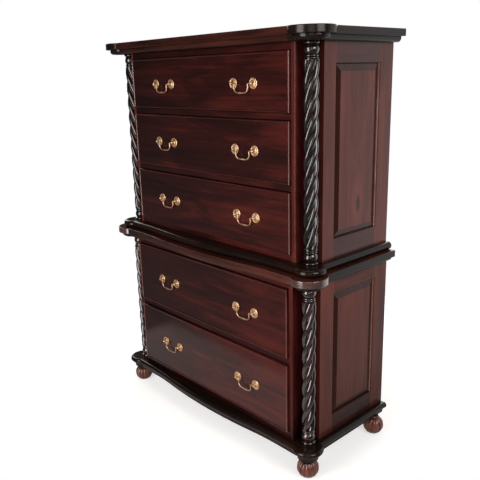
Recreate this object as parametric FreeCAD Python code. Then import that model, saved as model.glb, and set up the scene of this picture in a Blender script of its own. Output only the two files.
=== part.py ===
import FreeCAD
import Part
import math
import os

# Chest on chest in dark mahogany: two carcasses of drawers, one on the other, with rope-twist
# columns in the notched front corners, bowed waist and base boards, and ribbed bun feet.
# Millimetres. X is to the right, Y to the back, Z up. The origin is on the floor, under the
# middle of the whole chest's box.

# Carcasses: the upper one's depth, and how far the lower one stands out past it
UPPER_DEPTH = 433.0
LOWER_STEP_FRONT = 13.0
LOWER_STEP_SIDE = 5.5

# Openings for the drawers, and the frame round them: rails above, between and below, posts beside.
# The upper frame stands behind its carcass's front plane, the lower one in it. The lower drawers
# are wider by the carcass's step.
UPPER_DRAWER_WIDTH = 856.0
TOP_DRAWER_HEIGHT = 188.0
SECOND_DRAWER_HEIGHT = 203.5
THIRD_DRAWER_HEIGHT = 208.5
FOURTH_DRAWER_HEIGHT = 252.0
BOTTOM_DRAWER_HEIGHT = 260.0
UPPER_TOP_RAIL = 22.0
UPPER_DIVIDER = 22.0
UPPER_BOTTOM_RAIL = 24.0
LOWER_TOP_RAIL = 16.0
LOWER_DIVIDER = 25.0
LOWER_BOTTOM_RAIL = 26.0
RAIL_DEPTH = 60.0
RAIL_EDGE_ROUND = 2.0
POST_FACE = 17.5
POST_EDGE_ROUND = 5.0
UPPER_FRAME_SETBACK = 9.0

# Boards that cross the whole chest: height, overhang past the carcass, rounding of the edge
COVE_HEIGHT = 22.0
COVE_FOOT_OVERHANG = 8.0
COVE_FILLET_HEIGHT = 4.0
COVE_TOP_STEP = 2.0
BASE_HEIGHT = 22.5
BASE_OVERHANG = 26.0
WAIST_OVOLO_HEIGHT = 18.0
WAIST_OVOLO_OVERHANG = 21.0
WAIST_OVOLO_ROUND = 15.0
WAIST_HEIGHT = 24.5
WAIST_OVERHANG = 35.0
UPPER_BASE_HEIGHT = 28.0
UPPER_BASE_OVERHANG = 24.0
CORNICE_OVOLO_HEIGHT = 18.0
CORNICE_OVOLO_OVERHANG = 29.0
CORNICE_OVOLO_ROUND = 14.0
CORNICE_HEIGHT = 24.0
CORNICE_OVERHANG = 46.0
SLAB_EDGE_ROUND = 2.5

# The bow of the waist and base boards: where it starts inside the drawer opening, and its hollow ends
BOW_RISE = 20.5
BOW_MARGIN = 59.5
BOW_HOLLOW_LENGTH = 110.0

# The round ears of the boards over the front corners
EAR_SIDE_INSET = 3.0
EAR_FRONT_INSET = 17.0
EAR_CORE_RADIUS = 29.0

# Rope-twist columns in the notched corners
COLUMN_SIDE_INSET = 17.5
COLUMN_FRONT_INSET = 35.0
COLUMN_RADIUS = 24.0
COLUMN_GROOVE_DEPTH = 8.9
COLUMN_STRAND_RADIUS = 10.6
COLUMN_STRANDS = 4
COLUMN_LEAD = 241.0
COLUMN_SECTIONS_PER_TURN = 24
COLUMN_COLLAR_RADIUS = 25.0
COLUMN_COLLAR_HEIGHT = 8.0
COLUMN_BALL_HEIGHT = 30.0
COLUMN_NECK_RADIUS = 18.0
COLUMN_RING_RADIUS = 22.5
COLUMN_RING_HEIGHT = 7.0
COLUMN_FILLET_REACH = 0.4
COLUMN_FILLET_HEIGHT = 2.0
NOTCH_GAP = 16.0
NOTCH_BACK_GAP = 13.0

# Sides: framed raised panels
FRAME_THICKNESS = 25.0
UPPER_FRONT_STILE = 59.0
LOWER_FRONT_STILE = 71.0
BACK_STILE = 74.0
UPPER_SIDE_TOP_RAIL = 64.0
LOWER_SIDE_TOP_RAIL = 54.0
SIDE_BOTTOM_RAIL = 68.0
FRAME_EDGE_ROUND = 5.0
PANEL_TONGUE = 8.0
PANEL_TONGUE_THICKNESS = 8.0
PANEL_BEVEL = 24.0
PANEL_FIELD_DROP = 2.0
PANEL_PLAY = 0.2

# Posts behind the columns, backs, runners
POST_BACK_DEPTH = 25.0
BACK_THICKNESS = 9.0
RUNNER_WIDTH = 20.0
RUNNER_HEIGHT = 20.0
GUIDE_HEIGHT = 25.0
DRAWER_PLAY = 0.3

# Drawers: fronts that stand out past the frame, with a round bead along the edge, and their boxes
DRAWER_GAP = 1.5
DRAWER_PROUD = 7.0
DRAWER_FRONT_THICKNESS = 21.0
BEAD_WIDTH = 6.0
BEAD_STAND = 3.0
BEAD_ROUND = 2.5
DRAWER_SIDE_THICKNESS = 12.0
DRAWER_BACK_SPACE = 22.0
DRAWER_SIDE_DROP = 12.0
DRAWER_BOTTOM_THICKNESS = 6.0
DRAWER_BOTTOM_RISE = 10.0
DRAWER_BOTTOM_TONGUE = 5.0

# Bun feet
FOOT_HEIGHT = 72.0
FOOT_RADIUS = 39.0
FOOT_RIB_DEPTH = 3.5
FOOT_RIBS = 14
FOOT_PAD_RADIUS = 20.0
FOOT_NECK_RADIUS = 20.0
FOOT_NECK_HEIGHT = 8.0
BACK_FOOT_INSET = 43.0

# Dowels that keep the upper chest in place on the lower one
DOWEL_RADIUS = 6.0
DOWEL_DEPTH = 12.0
DOWEL_PLAY = 0.1
DOWEL_SPACING_X = 600.0
DOWEL_SPACING_Y = 240.0

# Swan-neck handles
HANDLE_END_DISTANCE = 206.0
HANDLE_DROP = 2.5
HANDLE_PITCH = 96.0
HANDLE_AXIS_STAND = 11.0
ROSETTE_RADIUS = 18.5
ROSETTE_RIM = 2.2
ROSETTE_BOSS_RADIUS = 8.0
ROSETTE_BOSS = 4.5
ROSETTE_BOSS_TOP_RADIUS = 4.5
ROSETTE_HOLLOW = 0.7
ROSETTE_PETALS = 12
ROSETTE_SCALLOP_RADIUS = 3.0
ROSETTE_SCALLOP_DEPTH = 1.2
POST_HEAD_RADIUS = 5.5
POST_NECK_RADIUS = 3.5
POST_SHANK_RADIUS = 2.5
SHANK_PLAY = 0.1
NUT_RADIUS = 5.5
NUT_HEIGHT = 4.0
SHANK_END = 2.0
BAIL_PIN_RADIUS = 1.5
BAIL_PIN_PLAY = 0.06
BAIL_SHOULDER_GAP = 0.4
BAIL_WIRE_RADIUS = 2.1
BAIL_GRIP_RADIUS = 3.2
BAIL_NECK_RUN = 5.0
BAIL_NECK_BEND = 5.5
BAIL_NECK_TURN = 110.0
BAIL_DROP = 30.0

# Levels, from the floor up
COVE_Z = FOOT_HEIGHT
BASE_Z = COVE_Z + COVE_HEIGHT
LOWER_Z = BASE_Z + BASE_HEIGHT
LOWER_HEIGHT = (LOWER_BOTTOM_RAIL + BOTTOM_DRAWER_HEIGHT + LOWER_DIVIDER + FOURTH_DRAWER_HEIGHT
                + LOWER_TOP_RAIL)
WAIST_OVOLO_Z = LOWER_Z + LOWER_HEIGHT
WAIST_Z = WAIST_OVOLO_Z + WAIST_OVOLO_HEIGHT
UPPER_BASE_Z = WAIST_Z + WAIST_HEIGHT
UPPER_Z = UPPER_BASE_Z + UPPER_BASE_HEIGHT
UPPER_HEIGHT = (UPPER_BOTTOM_RAIL + THIRD_DRAWER_HEIGHT + UPPER_DIVIDER + SECOND_DRAWER_HEIGHT
                + UPPER_DIVIDER + TOP_DRAWER_HEIGHT + UPPER_TOP_RAIL)
CORNICE_OVOLO_Z = UPPER_Z + UPPER_HEIGHT
CORNICE_Z = CORNICE_OVOLO_Z + CORNICE_OVOLO_HEIGHT

# Front and back planes, with the whole depth centred on the origin
OVERALL_DEPTH = UPPER_DEPTH + LOWER_STEP_FRONT + WAIST_OVERHANG + BOW_RISE
BACK_Y = OVERALL_DEPTH / 2
UPPER_FRONT_Y = BACK_Y - UPPER_DEPTH
LOWER_FRONT_Y = UPPER_FRONT_Y - LOWER_STEP_FRONT

# Half widths, from the drawers out: opening, post, notch for the column
NOTCH_WIDTH = COLUMN_SIDE_INSET + COLUMN_COLLAR_RADIUS + NOTCH_GAP
NOTCH_DEPTH = COLUMN_FRONT_INSET + COLUMN_COLLAR_RADIUS + NOTCH_BACK_GAP
FRAME_REACH = POST_FACE + NOTCH_WIDTH
UPPER_OPENING_HALF = UPPER_DRAWER_WIDTH / 2 + DRAWER_GAP
UPPER_HALF = UPPER_OPENING_HALF + FRAME_REACH
LOWER_HALF = UPPER_HALF + LOWER_STEP_SIDE
BOW_HALF_LENGTH = UPPER_OPENING_HALF - BOW_MARGIN


def vec(x, y, z):
    return FreeCAD.Vector(x, y, z)


def box(x0, x1, y0, y1, z0, z1):
    return Part.makeBox(x1 - x0, y1 - y0, z1 - z0, vec(x0, y0, z0))


def mirrored(shape):
    """The same piece on the other side of the chest."""
    return shape.mirror(vec(0, 0, 0), vec(1, 0, 0))


def twins(shape):
    return [shape, mirrored(shape)]


def joined(solids):
    """One solid made of touching or overlapping ones."""
    whole = solids[0].fuse(solids[1:]) if len(solids) > 1 else solids[0]
    return whole.removeSplitter()


def revolved(points, axis_end):
    """A turned piece: points are (radius, height) corners or ("arc", middle, end) bends."""
    edges = []
    here = points[0]
    for step in points[1:]:
        if step[0] == "arc":
            middle, end = step[1], step[2]
            edges.append(Part.Arc(vec(here[0], 0, here[1]), vec(middle[0], 0, middle[1]),
                                  vec(end[0], 0, end[1])).toShape())
        else:
            end = step
            edges.append(Part.makeLine(vec(here[0], 0, here[1]), vec(end[0], 0, end[1])))
        here = end
    edges.append(Part.makeLine(vec(here[0], 0, here[1]), vec(points[0][0], 0, points[0][1])))
    return Part.Face(Part.Wire(edges)).revolve(vec(0, 0, 0), axis_end, 360)


# Boards with ears and a bowed front

def bowed_edge(front, overhang):
    """Front edge between the flat ends: two hollow bends and one long round one between them."""
    turn = 2 * math.atan(BOW_RISE / BOW_HALF_LENGTH)
    hollow = BOW_HOLLOW_LENGTH / math.sin(turn)

    def hollow_point(side, angle):
        reach = hollow - overhang
        return vec(side * (BOW_HALF_LENGTH - reach * math.sin(angle)),
                   front - hollow + reach * math.cos(angle), 0)

    middle = vec(0, front - BOW_RISE - overhang, 0)
    right = [hollow_point(1, share * turn / 2) for share in range(3)]
    left = [hollow_point(-1, share * turn / 2) for share in range(3)]
    long_round = Part.Arc(right[2], middle, left[2]).toShape()
    return right[0], [Part.Arc(*right).toShape(), long_round, Part.Arc(*reversed(left)).toShape()], left[0]


def board_outline(half_width, front, overhang, bowed, z):
    """Plan of a board that reaches past the carcass by the overhang, with an ear at each front corner."""
    side = half_width + overhang
    edge_y = front - overhang
    ear_x = half_width - EAR_SIDE_INSET
    ear_y = front + EAR_FRONT_INSET
    radius = EAR_CORE_RADIUS + overhang
    ear_back = vec(side, ear_y + math.sqrt(radius ** 2 - (side - ear_x) ** 2), 0)
    ear_front = vec(ear_x - math.sqrt(radius ** 2 - (ear_y - edge_y) ** 2), edge_y, 0)
    diagonal = radius * math.sqrt(0.5)
    ear_tip = vec(ear_x + diagonal, ear_y - diagonal, 0)

    def flip(point):
        return vec(-point.x, point.y, 0)

    back_right = vec(side, BACK_Y, 0)
    edges = [Part.makeLine(back_right, ear_back), Part.Arc(ear_back, ear_tip, ear_front).toShape()]
    if bowed:
        start, bends, end = bowed_edge(front, overhang)
        edges.append(Part.makeLine(ear_front, start))
        edges.extend(bends)
        edges.append(Part.makeLine(end, flip(ear_front)))
    else:
        edges.append(Part.makeLine(ear_front, flip(ear_front)))
    edges.append(Part.Arc(flip(ear_front), flip(ear_tip), flip(ear_back)).toShape())
    edges.append(Part.makeLine(flip(ear_back), flip(back_right)))
    edges.append(Part.makeLine(flip(back_right), back_right))
    wire = Part.Wire(edges)
    wire.translate(vec(0, 0, z))
    return wire


def moulded_board(half_width, front, bowed, z, runs):
    """A board whose edge follows runs of (height, overhang) points, each run one smooth face."""
    solids = []
    for run in runs:
        wires = [board_outline(half_width, front, reach, bowed, z + rise) for rise, reach in run]
        solids.append(Part.makeLoft(wires, True, len(run) == 2))
    return joined(solids)


def quarter(steps, point):
    """Points of a quarter bend, from its start to its end."""
    return [point(math.pi / 2 * step / steps) for step in range(steps + 1)]


def rounded_edge(height, overhang, low_round, high_round):
    """Edge of a board with its lower and upper corner rounded."""
    low_face = overhang - low_round
    high_face = overhang - high_round
    top_start = height - high_round
    runs = [quarter(4, lambda a: (low_round * (1 - math.cos(a)), low_face + low_round * math.sin(a)))]
    if top_start - low_round > 0.01:
        runs.append([(low_round, overhang), (top_start, overhang)])
    if high_round > 0:
        runs.append(quarter(4, lambda a: (top_start + high_round * math.sin(a),
                                          high_face + high_round * math.cos(a))))
    return runs


def cove_edge():
    """Edge of the base's lower moulding: a small fillet with a hollow above it."""
    rise = COVE_HEIGHT - COVE_FILLET_HEIGHT
    reach = BASE_OVERHANG - BASE_HEIGHT / 2 + COVE_TOP_STEP - COVE_FOOT_OVERHANG
    hollow = quarter(4, lambda a: (COVE_FILLET_HEIGHT + rise * math.sin(a),
                                   COVE_FOOT_OVERHANG + reach * (1 - math.cos(a))))
    return [[(0, COVE_FOOT_OVERHANG), (COVE_FILLET_HEIGHT, COVE_FOOT_OVERHANG)], hollow]


# Turned and carved pieces

def strand_section(z, angle):
    """Section of the twisted shaft: round strands with hollow grooves that run into them."""
    half_step = math.pi / COLUMN_STRANDS
    strand_reach = COLUMN_RADIUS - COLUMN_STRAND_RADIUS
    floor = COLUMN_RADIUS - COLUMN_GROOVE_DEPTH
    lean = strand_reach * math.cos(half_step)
    hollow = ((strand_reach ** 2 - 2 * lean * floor + floor ** 2 - COLUMN_STRAND_RADIUS ** 2)
              / (2 * (COLUMN_STRAND_RADIUS + lean - floor)))
    groove_reach = floor + hollow

    def polar(reach, turn):
        return vec(reach * math.cos(turn), reach * math.sin(turn), z)

    def meeting(strand_turn, groove_turn):
        centre = polar(strand_reach, strand_turn)
        way = polar(groove_reach, groove_turn) - centre
        return centre + way * (COLUMN_STRAND_RADIUS / (COLUMN_STRAND_RADIUS + hollow))

    edges = []
    for strand in range(COLUMN_STRANDS):
        turn = angle + 2 * half_step * strand
        before = meeting(turn, turn - half_step)
        after = meeting(turn, turn + half_step)
        following = meeting(turn + 2 * half_step, turn + half_step)
        edges.append(Part.Arc(before, polar(COLUMN_RADIUS, turn), after).toShape())
        edges.append(Part.Arc(after, polar(floor, turn + half_step), following).toShape())
    return Part.Wire(edges)


def column_end():
    """Turned end of a column, standing on z = 0: collar, ball, two rings and a fillet for the shaft."""
    collar = COLUMN_COLLAR_RADIUS
    neck = COLUMN_NECK_RADIUS
    ring = COLUMN_RING_RADIUS
    collar_edge = COLUMN_COLLAR_HEIGHT / 2
    ball_low = COLUMN_COLLAR_HEIGHT
    ball_high = ball_low + COLUMN_BALL_HEIGHT
    ring_edge = COLUMN_RING_HEIGHT / 2
    ring_high = ball_high + COLUMN_RING_HEIGHT
    second_high = ring_high + COLUMN_RING_HEIGHT
    fillet = COLUMN_RADIUS + COLUMN_FILLET_REACH
    end_height = second_high + COLUMN_FILLET_HEIGHT
    return revolved([
        (0, 0),
        (collar - collar_edge, 0),
        ("arc", (collar, collar_edge), (collar - collar_edge, ball_low)),
        (neck, ball_low),
        ("arc", (COLUMN_RADIUS, (ball_low + ball_high) / 2), (neck, ball_high)),
        (ring - ring_edge, ball_high),
        ("arc", (ring, ball_high + ring_edge), (ring - ring_edge, ring_high)),
        ("arc", (ring, ring_high + ring_edge), (ring - ring_edge, second_high)),
        (fillet, second_high),
        (fillet, end_height),
        (0, end_height),
    ], vec(0, 0, 1)), end_height


def column(height):
    """Rope-twist column with a turned end at the foot and the same end at the head."""
    foot, end_height = column_end()
    head = foot.copy()
    head.rotate(vec(0, 0, 0), vec(1, 0, 0), 180)
    head.translate(vec(0, 0, height))
    low = end_height
    high = height - end_height
    steps = max(2, round((high - low) / COLUMN_LEAD * COLUMN_SECTIONS_PER_TURN))
    sections = []
    for step in range(steps + 1):
        z = low + (high - low) * step / steps
        sections.append(strand_section(z, 2 * math.pi * (z - low) / COLUMN_LEAD))
    shaft = Part.makeLoft(sections, True, False)
    return joined([foot, shaft, head])


def ribbed_section(radius, depth, z):
    """Plan of the foot at one level: round ribs that meet in creases."""
    step = 2 * math.pi / FOOT_RIBS
    crease = radius - depth

    def polar(reach, turn):
        return vec(reach * math.cos(turn), reach * math.sin(turn), z)

    edges = []
    for rib in range(FOOT_RIBS):
        turn = rib * step
        edges.append(Part.Arc(polar(crease, turn - step / 2), polar(radius, turn),
                              polar(crease, turn + step / 2)).toShape())
    return Part.Wire(edges)


def bun_foot():
    """Ribbed bun on a flat pad, with a round neck under the base."""
    bun_height = FOOT_HEIGHT - FOOT_NECK_HEIGHT
    middle = bun_height / 2
    lean = math.acos(FOOT_PAD_RADIUS / FOOT_RADIUS)
    sections = []
    for share in (-1, -0.7, -0.35, 0, 0.35, 0.7, 1):
        angle = lean * share
        radius = FOOT_RADIUS * math.cos(angle)
        z = middle + middle * math.sin(angle) / math.sin(lean)
        sections.append(ribbed_section(radius, FOOT_RIB_DEPTH * math.cos(angle), z))
    bun = Part.makeLoft(sections, True, False)
    ring_edge = FOOT_NECK_HEIGHT / 2
    seat = bun_height - ring_edge
    neck = revolved([
        (0, seat),
        (FOOT_NECK_RADIUS - ring_edge, seat),
        (FOOT_NECK_RADIUS - ring_edge, bun_height),
        ("arc", (FOOT_NECK_RADIUS, bun_height + ring_edge), (FOOT_NECK_RADIUS - ring_edge, FOOT_HEIGHT)),
        (0, FOOT_HEIGHT),
    ], vec(0, 0, 1))
    return joined([bun, neck])


# Carcass pieces

def corner_post(half_width, front, frame_y, z, height):
    """Right post behind the column: the front stile, with a step that closes the notch."""
    opening_x = half_width - FRAME_REACH
    wall_x = half_width - NOTCH_WIDTH
    step_y = front + NOTCH_DEPTH
    inner_x = half_width - FRAME_THICKNESS
    back_y = step_y + POST_BACK_DEPTH
    corners = [(opening_x, frame_y), (wall_x, frame_y), (wall_x, step_y), (inner_x, step_y),
               (inner_x, back_y), (opening_x, back_y), (opening_x, frame_y)]
    plan = Part.makePolygon([vec(x, y, z) for x, y in corners])
    post = Part.Face(plan).extrude(vec(0, 0, height))
    outer_edge = [edge for edge in post.Edges
                  if all(abs(v.Y - frame_y) < 1e-6 and abs(v.X - wall_x) < 1e-6 for v in edge.Vertexes)]
    return post.makeFillet(POST_EDGE_ROUND, outer_edge)


def side_frame(half_width, front, z, height, front_stile, top_rail):
    """Right side: stiles and rails with a rounded inner edge and a groove, and the raised panel in it."""
    inner_x = half_width - FRAME_THICKNESS
    front_y = front + NOTCH_DEPTH
    open_front = front_y + front_stile
    open_back = BACK_Y - BACK_STILE
    open_low = z + SIDE_BOTTOM_RAIL
    open_high = z + height - top_rail
    groove_x = inner_x + (FRAME_THICKNESS - PANEL_TONGUE_THICKNESS) / 2 - PANEL_PLAY
    groove_end = groove_x + PANEL_TONGUE_THICKNESS + 2 * PANEL_PLAY

    ring = box(inner_x, half_width, front_y, BACK_Y, z, z + height)
    ring = ring.cut(box(inner_x, half_width, open_front, open_back, open_low, open_high))
    rim = [edge for edge in ring.Edges
           if all(abs(v.X - half_width) < 1e-6
                  and open_front - 1 < v.Y < open_back + 1
                  and open_low - 1 < v.Z < open_high + 1 for v in edge.Vertexes)]
    ring = ring.makeFillet(FRAME_EDGE_ROUND, rim)
    reach = PANEL_TONGUE + PANEL_PLAY
    ring = ring.cut(box(groove_x, groove_end, open_front - reach, open_back + reach,
                        open_low - reach, open_high + reach))
    low, high = z - 1, z + height + 1
    members = [
        ring.common(box(inner_x - 1, half_width + 1, front_y - 1, open_front, low, high)),
        ring.common(box(inner_x - 1, half_width + 1, open_back, BACK_Y + 1, low, high)),
        ring.common(box(inner_x - 1, half_width + 1, open_front, open_back, low, open_low + 1)),
        ring.common(box(inner_x - 1, half_width + 1, open_front, open_back, open_high - 1, high)),
    ]

    tongue_x = groove_x + PANEL_PLAY
    face_x = tongue_x + PANEL_TONGUE_THICKNESS
    field_x = half_width - PANEL_FIELD_DROP
    board = box(tongue_x, face_x, open_front - PANEL_TONGUE, open_back + PANEL_TONGUE,
                open_low - PANEL_TONGUE, open_high + PANEL_TONGUE)

    def rectangle(x, inset):
        corners = [(open_front + inset, open_low + inset), (open_back - inset, open_low + inset),
                   (open_back - inset, open_high - inset), (open_front + inset, open_high - inset)]
        return Part.makePolygon([vec(x, y, level) for y, level in corners + corners[:1]])

    bevel = Part.makeLoft([rectangle(face_x, PANEL_PLAY), rectangle(field_x, PANEL_BEVEL)], True, True)
    panel = joined([board, bevel])
    return Part.makeCompound([member.Solids[0] for member in members]), panel


def front_rail(opening_x, frame_y, z, height):
    rail = box(-opening_x, opening_x, frame_y, frame_y + RAIL_DEPTH, z, z + height)
    long_edges = [edge for edge in rail.Edges
                  if all(abs(v.Y - frame_y) < 1e-6 for v in edge.Vertexes)
                  and abs(edge.Vertexes[0].X - edge.Vertexes[1].X) > 1]
    return rail.makeFillet(RAIL_EDGE_ROUND, long_edges)


def runner_and_guide(half_width, front, opening_z):
    """Right runner under a drawer's side, and the strip that guides the side."""
    opening_x = half_width - FRAME_REACH
    inner_x = half_width - FRAME_THICKNESS
    start = front + NOTCH_DEPTH + POST_BACK_DEPTH
    end = BACK_Y - BACK_THICKNESS
    runner = box(opening_x - RUNNER_WIDTH, inner_x, start, end, opening_z - RUNNER_HEIGHT, opening_z)
    guide = box(opening_x, inner_x, start, end, opening_z, opening_z + GUIDE_HEIGHT)
    return [runner, guide]


# Handles, modelled with the bail's axis along X through the origin and the drawer face behind it

def along_y(shape):
    """Turn a piece made round Z so that its top faces the front."""
    shape.rotate(vec(0, 0, 0), vec(1, 0, 0), 90)
    return shape


def rosette():
    """Scalloped round plate with a raised rim, a hollow and a boss, on the drawer face at y = 0."""
    hole = POST_SHANK_RADIUS + SHANK_PLAY
    hollow = (ROSETTE_RADIUS + ROSETTE_BOSS_RADIUS) / 2
    crown = (ROSETTE_BOSS_RADIUS + ROSETTE_BOSS_TOP_RADIUS) / 2
    crown_rise = (ROSETTE_RIM + ROSETTE_BOSS) / 2 + ROSETTE_HOLLOW
    plate = revolved([
        (hole, 0),
        (ROSETTE_RADIUS, 0),
        (ROSETTE_RADIUS, ROSETTE_RIM / 2),
        (ROSETTE_RADIUS - ROSETTE_RIM, ROSETTE_RIM),
        ("arc", (hollow, ROSETTE_RIM - ROSETTE_HOLLOW), (ROSETTE_BOSS_RADIUS, ROSETTE_RIM)),
        ("arc", (crown, crown_rise), (ROSETTE_BOSS_TOP_RADIUS, ROSETTE_BOSS)),
        (hole, ROSETTE_BOSS),
    ], vec(0, 0, 1))
    notch = Part.makeCylinder(ROSETTE_SCALLOP_RADIUS, ROSETTE_BOSS,
                              vec(ROSETTE_RADIUS + ROSETTE_SCALLOP_RADIUS - ROSETTE_SCALLOP_DEPTH, 0, 0))
    notches = []
    for petal in range(ROSETTE_PETALS):
        cutter = notch.copy()
        cutter.rotate(vec(0, 0, 0), vec(0, 0, 1), 360 * petal / ROSETTE_PETALS)
        notches.append(cutter)
    return along_y(plate.cut(notches))


def handle_post():
    """Post with a round head, drilled for the bail's pin, on a shank that goes through the drawer front."""
    shank_end = DRAWER_FRONT_THICKNESS + NUT_HEIGHT + SHANK_END
    shank = Part.makeCylinder(POST_SHANK_RADIUS, shank_end + ROSETTE_BOSS, vec(0, 0, -shank_end))
    neck = Part.makeCylinder(POST_NECK_RADIUS, HANDLE_AXIS_STAND - ROSETTE_BOSS, vec(0, 0, ROSETTE_BOSS))
    head = Part.makeSphere(POST_HEAD_RADIUS, vec(0, 0, HANDLE_AXIS_STAND))
    drill = Part.makeCylinder(BAIL_PIN_RADIUS + BAIL_PIN_PLAY, 4 * POST_HEAD_RADIUS,
                              vec(-2 * POST_HEAD_RADIUS, 0, HANDLE_AXIS_STAND), vec(1, 0, 0))
    return along_y(joined([shank, neck, head]).cut(drill))


def post_nut():
    """Hexagon nut on the shank, inside the drawer."""
    corners = [vec(NUT_RADIUS * math.cos(math.radians(60 * corner)),
                   NUT_RADIUS * math.sin(math.radians(60 * corner)),
                   -DRAWER_FRONT_THICKNESS - NUT_HEIGHT) for corner in range(7)]
    nut = Part.Face(Part.makePolygon(corners)).extrude(vec(0, 0, NUT_HEIGHT))
    bore = Part.makeCylinder(POST_SHANK_RADIUS + SHANK_PLAY, NUT_HEIGHT,
                             vec(0, 0, -DRAWER_FRONT_THICKNESS - NUT_HEIGHT))
    return along_y(nut.cut(bore))


def bail():
    """Swan-neck bail with a swelled grip, and a straight pin at each end for the posts."""
    turn = math.radians(BAIL_NECK_TURN)
    start = HANDLE_PITCH / 2 - POST_HEAD_RADIUS - BAIL_SHOULDER_GAP
    bend_x = start - BAIL_NECK_RUN
    low_x = bend_x - BAIL_NECK_BEND * math.sin(turn)
    low_z = -BAIL_NECK_BEND + BAIL_NECK_BEND * math.cos(turn)
    loop = (BAIL_DROP + low_z) / (1 - math.cos(turn))
    loop_x = low_x - loop * math.sin(turn)
    loop_z = low_z + loop * math.cos(turn)

    def wire_end(x, z, heading):
        return Part.Face(Part.Wire(Part.makeCircle(BAIL_WIRE_RADIUS, vec(x, 0, z), heading)))

    pin_start = start - BAIL_NECK_RUN / 2
    pin_end = HANDLE_PITCH / 2 + POST_HEAD_RADIUS
    pin = Part.makeCylinder(BAIL_PIN_RADIUS, pin_end - pin_start, vec(pin_start, 0, 0), vec(1, 0, 0))
    run = wire_end(bend_x, 0, vec(1, 0, 0)).extrude(vec(BAIL_NECK_RUN, 0, 0))
    neck = wire_end(bend_x, 0, vec(1, 0, 0)).revolve(vec(bend_x, 0, -BAIL_NECK_BEND), vec(0, -1, 0),
                                                     BAIL_NECK_TURN)
    arm = wire_end(low_x, low_z, vec(math.cos(turn), 0, math.sin(turn))).revolve(
        vec(loop_x, 0, loop_z), vec(0, 1, 0), BAIL_NECK_TURN)
    outline = Part.Wire([
        Part.makeLine(vec(-loop_x, 0, -BAIL_DROP), vec(loop_x, 0, -BAIL_DROP)),
        Part.makeLine(vec(loop_x, 0, -BAIL_DROP), vec(loop_x, 0, BAIL_WIRE_RADIUS - BAIL_DROP)),
        Part.Arc(vec(loop_x, 0, BAIL_WIRE_RADIUS - BAIL_DROP), vec(0, 0, BAIL_GRIP_RADIUS - BAIL_DROP),
                 vec(-loop_x, 0, BAIL_WIRE_RADIUS - BAIL_DROP)).toShape(),
        Part.makeLine(vec(-loop_x, 0, BAIL_WIRE_RADIUS - BAIL_DROP), vec(-loop_x, 0, -BAIL_DROP)),
    ])
    grip = Part.Face(outline).revolve(vec(0, 0, -BAIL_DROP), vec(1, 0, 0), 360)
    half = joined([pin, run, neck, arm])
    return joined([grip] + twins(half))


# Drawers

def drawer(opening_x, frame_y, opening_z, opening_height):
    """Front, box and bottom of one drawer, shut, with the places of its handles and of their posts."""
    face_y = frame_y - DRAWER_PROUD
    crest_y = face_y - BEAD_STAND
    back_of_front = face_y + DRAWER_FRONT_THICKNESS
    half = opening_x - DRAWER_GAP
    low = opening_z + DRAWER_GAP
    high = opening_z + opening_height - DRAWER_GAP
    front = box(-half, half, crest_y, back_of_front, low, high)
    front = front.cut(box(-half + BEAD_WIDTH, half - BEAD_WIDTH, crest_y, face_y,
                          low + BEAD_WIDTH, high - BEAD_WIDTH))
    bead_edges = [edge for edge in front.Edges if all(abs(v.Y - crest_y) < 1e-6 for v in edge.Vertexes)]
    front = front.makeFillet(BEAD_ROUND, bead_edges)

    side_low = opening_z + DRAWER_PLAY
    side_high = high - DRAWER_SIDE_DROP
    box_end = BACK_Y - BACK_THICKNESS - DRAWER_BACK_SPACE
    side_inner = half - DRAWER_SIDE_THICKNESS
    back_start = box_end - DRAWER_SIDE_THICKNESS
    bottom_low = side_low + DRAWER_BOTTOM_RISE
    bottom_high = bottom_low + DRAWER_BOTTOM_THICKNESS
    bottom = box(-side_inner - DRAWER_BOTTOM_TONGUE, side_inner + DRAWER_BOTTOM_TONGUE,
                 back_of_front - DRAWER_BOTTOM_TONGUE, box_end, bottom_low, bottom_high)
    side = box(side_inner, half, back_of_front, box_end, side_low, side_high).cut(bottom)
    back = box(-side_inner, side_inner, back_start, box_end, bottom_high, side_high)

    handle_z = (low + high) / 2 - HANDLE_DROP
    handles = [vec(hand * (half - HANDLE_END_DISTANCE), face_y, handle_z) for hand in (-1, 1)]
    posts = [handle + vec(end * HANDLE_PITCH / 2, 0, 0) for handle in handles for end in (-1, 1)]
    holes = [Part.makeCylinder(POST_SHANK_RADIUS + SHANK_PLAY, DRAWER_FRONT_THICKNESS, place, vec(0, 1, 0))
             for place in posts]
    front = front.cut([bottom] + holes)
    return front, Part.makeCompound(twins(side) + [back]), bottom, handles, posts


def moved(shape, place):
    copy = shape.copy()
    copy.translate(place)
    return copy


# Put the chest together

pieces = {}

cove = moulded_board(LOWER_HALF, LOWER_FRONT_Y, True, COVE_Z, cove_edge())
base = moulded_board(LOWER_HALF, LOWER_FRONT_Y, True, BASE_Z,
                     rounded_edge(BASE_HEIGHT, BASE_OVERHANG, BASE_HEIGHT / 2, BASE_HEIGHT / 2))
waist_ovolo = moulded_board(LOWER_HALF, LOWER_FRONT_Y, True, WAIST_OVOLO_Z,
                            rounded_edge(WAIST_OVOLO_HEIGHT, WAIST_OVOLO_OVERHANG, WAIST_OVOLO_ROUND, 0))
waist = moulded_board(LOWER_HALF, LOWER_FRONT_Y, True, WAIST_Z,
                      rounded_edge(WAIST_HEIGHT, WAIST_OVERHANG, SLAB_EDGE_ROUND, SLAB_EDGE_ROUND))
upper_base = moulded_board(UPPER_HALF, UPPER_FRONT_Y, True, UPPER_BASE_Z,
                           rounded_edge(UPPER_BASE_HEIGHT, UPPER_BASE_OVERHANG, UPPER_BASE_HEIGHT / 2,
                                        UPPER_BASE_HEIGHT / 2))
cornice_ovolo = moulded_board(UPPER_HALF, UPPER_FRONT_Y, False, CORNICE_OVOLO_Z,
                              rounded_edge(CORNICE_OVOLO_HEIGHT, CORNICE_OVOLO_OVERHANG,
                                           CORNICE_OVOLO_ROUND, 0))
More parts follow.
